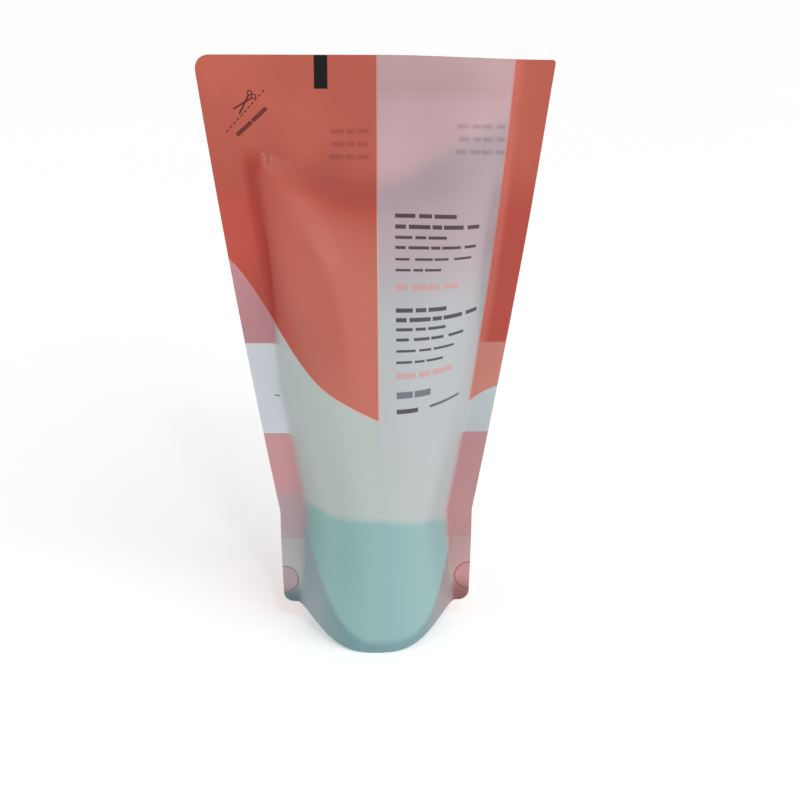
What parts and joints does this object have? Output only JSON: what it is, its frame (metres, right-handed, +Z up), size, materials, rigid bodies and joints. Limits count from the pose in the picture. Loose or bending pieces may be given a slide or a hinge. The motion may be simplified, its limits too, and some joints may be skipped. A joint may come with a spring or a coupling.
{
  "type": "body wash refill pouch",
  "caption": "Filled stand-up pouch of body wash: two tapered film panels sealed down the sides and across the top, over a bottom gusset folded up between them.",
  "frame": {"origin": "on the table, under the middle of the pouch", "axes": "+Z up the pouch, -Y out of its front panel, +X to the right as the front is read"},
  "size_m": [0.1251, 0.0662, 0.2205],
  "materials": {
    "front_film": "frosted translucent film, printed in coral, pale pink, white and mint fields, satin",
    "back_film": "frosted translucent film, printed pale coral with a white label band, satin",
    "gusset_film": "frosted translucent film with a teal to mauve tint, satin",
    "liquid": "opaque white body wash, seen through the film"
  },
  "bodies": {
    "root": {"front_panel": "front_film", "back_panel": "back_film", "bottom_gusset": "gusset_film", "body_wash": "liquid"}
  },
  "joints": []
}
